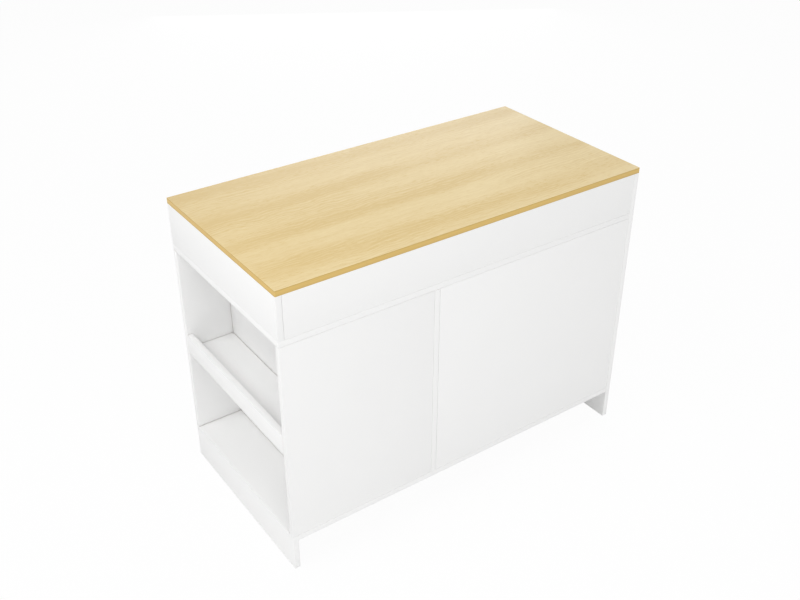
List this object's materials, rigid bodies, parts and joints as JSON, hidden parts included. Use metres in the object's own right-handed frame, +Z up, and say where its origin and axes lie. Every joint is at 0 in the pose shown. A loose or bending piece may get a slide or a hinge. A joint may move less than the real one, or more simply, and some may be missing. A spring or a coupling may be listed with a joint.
{
  "type": "kitchen island unit",
  "caption": "Free-standing kitchen island with a light oak worktop, drawers over hinged cupboard doors on one side, a plain panelled side and an open end bay with a guard rail.",
  "frame": {"origin": "on the floor under the middle of the unit", "axes": "+X along the worktop towards the end with the open bay, +Y towards the plain panelled side, so that the doors and drawers face -Y, +Z up"},
  "size_m": [1.2, 0.6053, 0.9],
  "materials": {
    "white_board": "satin white melamine on particle board, sharp edged",
    "oak_board": "satin light oak laminate, fine grain along the length",
    "drawer_board": "satin white foil on thin board",
    "zinc": "dull cast zinc",
    "steel": "bright zinc-plated steel",
    "beech": "plain turned beech",
    "white_plastic": "matte moulded plastic"
  },
  "bodies": {
    "root": {"left_side_board": "white_board", "end_apron": "white_board", "divider_board": "white_board", "bottom_board": "white_board", "end_plinth": "white_board", "partition_board": "white_board", "bay_back_board": "white_board", "bay_front_board": "white_board", "back_panel_narrow": "white_board", "back_panel_wide": "white_board", "back_panel_top": "white_board", "bay_shelf": "white_board", "bay_rail": "white_board", "drawer_partition_left": "white_board", "drawer_partition_right": "white_board", "wide_shelf": "white_board", "narrow_shelf": "white_board", "worktop": "oak_board", "shelf_pins": "steel", "cam_bolts": "steel", "cabinet_runners": "steel", "hinge_frame_leaves": "steel", "hinge_pins": "steel", "carcass_screws": "steel", "cam_locks": "zinc", "dowels": "beech", "magnetic_catches": "white_plastic"},
    "left_drawer": {"left_drawer_front": "white_board", "left_drawer_sides": "drawer_board", "left_drawer_back": "drawer_board", "left_drawer_bottom": "drawer_board", "left_drawer_runners": "steel", "left_drawer_fixings": "steel"},
    "left_runner_middle": {"left_middle_runners": "steel"},
    "left_door_leaf": {"left_door": "white_board", "left_door_hinge_leaves": "steel", "left_door_strike": "steel", "left_door_screws": "steel"},
    "centre_drawer": {"centre_drawer_front": "white_board", "centre_drawer_sides": "drawer_board", "centre_drawer_back": "drawer_board", "centre_drawer_bottom": "drawer_board", "centre_drawer_runners": "steel", "centre_drawer_fixings": "steel"},
    "centre_runner_middle": {"centre_middle_runners": "steel"},
    "centre_door_leaf": {"centre_door": "white_board", "centre_door_hinge_leaves": "steel", "centre_door_strike": "steel", "centre_door_screws": "steel"},
    "right_drawer": {"right_drawer_front": "white_board", "right_drawer_sides": "drawer_board", "right_drawer_back": "drawer_board", "right_drawer_bottom": "drawer_board", "right_drawer_runners": "steel", "right_drawer_fixings": "steel"},
    "right_runner_middle": {"right_middle_runners": "steel"},
    "right_door_leaf": {"right_door": "white_board", "right_door_hinge_leaves": "steel", "right_door_strike": "steel", "right_door_screws": "steel"}
  },
  "joints": [
    {"name": "left_drawer_slide", "type": "slide", "parent": "root", "child": "left_drawer", "axis": [0, -1, 0], "range_m": [0, 0.43]},
    {"name": "left_middle_slide", "type": "slide", "parent": "root", "child": "left_runner_middle", "axis": [0, -1, 0], "range_m": [0, 0.215]},
    {"name": "left_door_hinge", "type": "hinge", "parent": "root", "child": "left_door_leaf", "pos_m": [-0.582, -0.3028, 0.4285], "axis": [0, 0, -1], "range_deg": [0, 110]},
    {"name": "centre_drawer_slide", "type": "slide", "parent": "root", "child": "centre_drawer", "axis": [0, -1, 0], "range_m": [0, 0.43]},
    {"name": "centre_middle_slide", "type": "slide", "parent": "root", "child": "centre_runner_middle", "axis": [0, -1, 0], "range_m": [0, 0.215]},
    {"name": "centre_door_hinge", "type": "hinge", "parent": "root", "child": "centre_door_leaf", "pos_m": [0.116, -0.3028, 0.4285], "axis": [0, 0, 1], "range_deg": [0, 110]},
    {"name": "right_drawer_slide", "type": "slide", "parent": "root", "child": "right_drawer", "axis": [0, -1, 0], "range_m": [0, 0.43]},
    {"name": "right_middle_slide", "type": "slide", "parent": "root", "child": "right_runner_middle", "axis": [0, -1, 0], "range_m": [0, 0.215]},
    {"name": "right_door_hinge", "type": "hinge", "parent": "root", "child": "right_door_leaf", "pos_m": [0.436, -0.3028, 0.4285], "axis": [0, 0, 1], "range_deg": [0, 110]}
  ],
  "couplings": [
    {"joint": "left_middle_slide", "follows": "left_drawer_slide", "ratio": 0.5},
    {"joint": "centre_middle_slide", "follows": "centre_drawer_slide", "ratio": 0.5},
    {"joint": "right_middle_slide", "follows": "right_drawer_slide", "ratio": 0.5}
  ]
}
